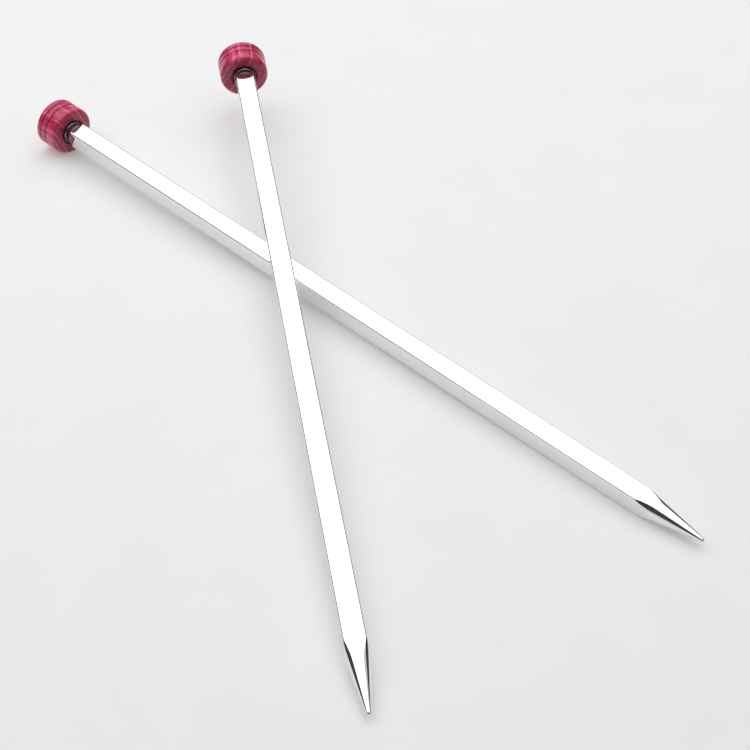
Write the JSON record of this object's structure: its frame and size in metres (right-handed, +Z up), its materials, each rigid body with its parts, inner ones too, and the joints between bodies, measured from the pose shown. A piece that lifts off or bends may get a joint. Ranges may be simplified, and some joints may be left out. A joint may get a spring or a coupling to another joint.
{
  "type": "straight knitting needles",
  "caption": "Crossed pair of single-pointed knitting needles: square plated shafts, conical points and turned laminated-wood end caps.",
  "frame": {"origin": "middle of the pair's bounding box, on the table the needles lie on", "axes": "+X along the lower needle towards its point, +Z up from the table, +Y to the left of the lower needle seen from its cap, the side the upper needle's cap is on"},
  "size_m": [0.3, 0.1854, 0.0291],
  "materials": {
    "nickel_plate": "bright polished nickel plate with very fine lengthwise polishing lines",
    "plug_metal": "bright turned and plated metal",
    "laminated_wood": "dyed pink, crimson and purple veneers, laminated and turned, under satin-gloss lacquer"
  },
  "bodies": {
    "lower_needle": {"lower_shaft": "nickel_plate", "lower_end_plug": "plug_metal", "lower_cap": "laminated_wood"},
    "upper_needle": {"upper_shaft": "nickel_plate", "upper_end_plug": "plug_metal", "upper_cap": "laminated_wood"}
  },
  "joints": [
    {"name": "upper_lift", "type": "slide", "parent": "lower_needle", "child": "upper_needle", "axis": [0, 0, 1], "range_m": [0, 0.06]}
  ]
}
